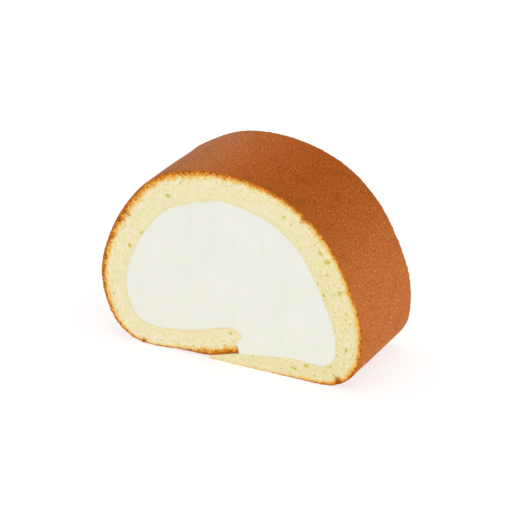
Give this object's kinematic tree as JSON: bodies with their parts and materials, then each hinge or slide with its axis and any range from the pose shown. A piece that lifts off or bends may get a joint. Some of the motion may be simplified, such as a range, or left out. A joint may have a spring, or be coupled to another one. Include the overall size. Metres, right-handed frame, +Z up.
{
  "type": "swiss roll cake slice",
  "caption": "Thick upright slice of a one-turn Swiss roll: a domed loop of brown-skinned yellow sponge lapped at the base round a large whipped cream core.",
  "frame": {"origin": "middle of the bounding box's underside, on the surface the slice stands on", "axes": "+X across the slice towards the side whose sheet runs under the join, +Y along the roll away from the front cut face, +Z up"},
  "size_m": [0.095, 0.0376, 0.0668],
  "materials": {
    "sponge": "soft open crumb, pale yellow, with a thin matt brown baked skin on the outside",
    "cream": "smooth whipped cream, near white, cut flat with a soft sheen"
  },
  "bodies": {
    "root": {"sponge": "sponge", "cream": "cream"}
  },
  "joints": []
}
